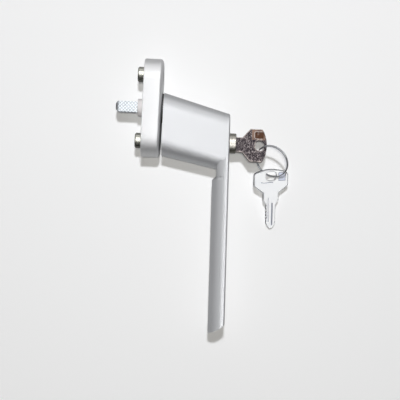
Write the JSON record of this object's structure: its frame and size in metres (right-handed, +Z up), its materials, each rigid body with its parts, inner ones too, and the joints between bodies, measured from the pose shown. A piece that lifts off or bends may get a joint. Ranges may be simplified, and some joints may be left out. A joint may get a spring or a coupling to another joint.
{
  "type": "locking lever handle",
  "caption": "Lockable lever handle for a tilt and turn window, with square spindle, key in its lock and a spare key on a split ring.",
  "frame": {"origin": "centre of the rosette's back face, on the spindle's axis", "axes": "+X out of the sash into the room along the spindle, +Z up along the rosette, with the lever hanging down towards -Z"},
  "size_m": [0.1151, 0.03, 0.1761],
  "materials": {
    "satin_aluminium": "satin silver anodised",
    "zinc_plate": "bright zinc plate",
    "bright_steel": "bright turned steel",
    "spring_steel": "dark spring steel",
    "natural_nylon": "natural nylon",
    "black_nylon": "black nylon",
    "nickel": "satin nickel plate",
    "wafer_brass": "plain brass",
    "key_nickel": "nickel plate",
    "ring_wire": "bright wire"
  },
  "bodies": {
    "root": {"rosette": "satin_aluminium", "back_plate": "zinc_plate", "plate_screws": "bright_steel", "upper_sleeve": "bright_steel", "lower_sleeve": "bright_steel", "detent_ball_upper": "bright_steel", "detent_ball_lower": "bright_steel", "detent_spring_upper": "spring_steel", "detent_spring_lower": "spring_steel", "slide_ring": "black_nylon"},
    "lever": {"lever": "satin_aluminium", "spindle": "zinc_plate", "spindle_bush": "natural_nylon", "spindle_pin": "bright_steel", "detent_disc": "zinc_plate", "hub_washer": "bright_steel", "retaining_ring": "spring_steel", "cylinder_housing": "nickel", "cylinder_pin": "bright_steel", "lock_cover_plate": "zinc_plate", "cover_screws": "bright_steel"},
    "plug": {"plug": "nickel", "wafer_1": "wafer_brass", "wafer_2": "wafer_brass", "wafer_3": "wafer_brass", "wafer_4": "wafer_brass", "wafer_5": "wafer_brass", "tail_bar": "zinc_plate", "lock_cam": "zinc_plate", "cam_clip": "spring_steel"},
    "bolt": {"lock_bolt": "zinc_plate"},
    "key": {"key": "key_nickel"},
    "ring": {"key_ring": "ring_wire"},
    "spare": {"spare_key": "key_nickel"}
  },
  "joints": [
    {"name": "handle_turn", "type": "hinge", "parent": "root", "child": "lever", "pos_m": [0, 0, 0], "axis": [1, 0, 0], "range_deg": [-180, 180]},
    {"name": "key_turn", "type": "hinge", "parent": "lever", "child": "plug", "pos_m": [0, 0, -0.0204], "axis": [1, 0, 0], "range_deg": [-70, 20]},
    {"name": "bolt_slide", "type": "slide", "parent": "lever", "child": "bolt", "axis": [0, 0, 1], "range_m": [-0.00094, 0.0033]},
    {"name": "key_pull", "type": "slide", "parent": "plug", "child": "key", "axis": [1, 0, 0], "range_m": [0, 0.024]},
    {"name": "ring_swing", "type": "hinge", "parent": "key", "child": "ring", "pos_m": [0.07733, -0.00099, -0.02313], "axis": [0.5302, -0.6428, 0.5529], "range_deg": [-45, 60]},
    {"name": "spare_key_swing", "type": "hinge", "parent": "ring", "child": "spare", "pos_m": [0.08598, 0.00447, -0.04045], "axis": [0.8937, -0.4132, -0.1748], "range_deg": [-45, 45]}
  ],
  "couplings": [
    {"joint": "bolt_slide", "follows": "key_turn", "m_per_rad": -0.002701}
  ]
}
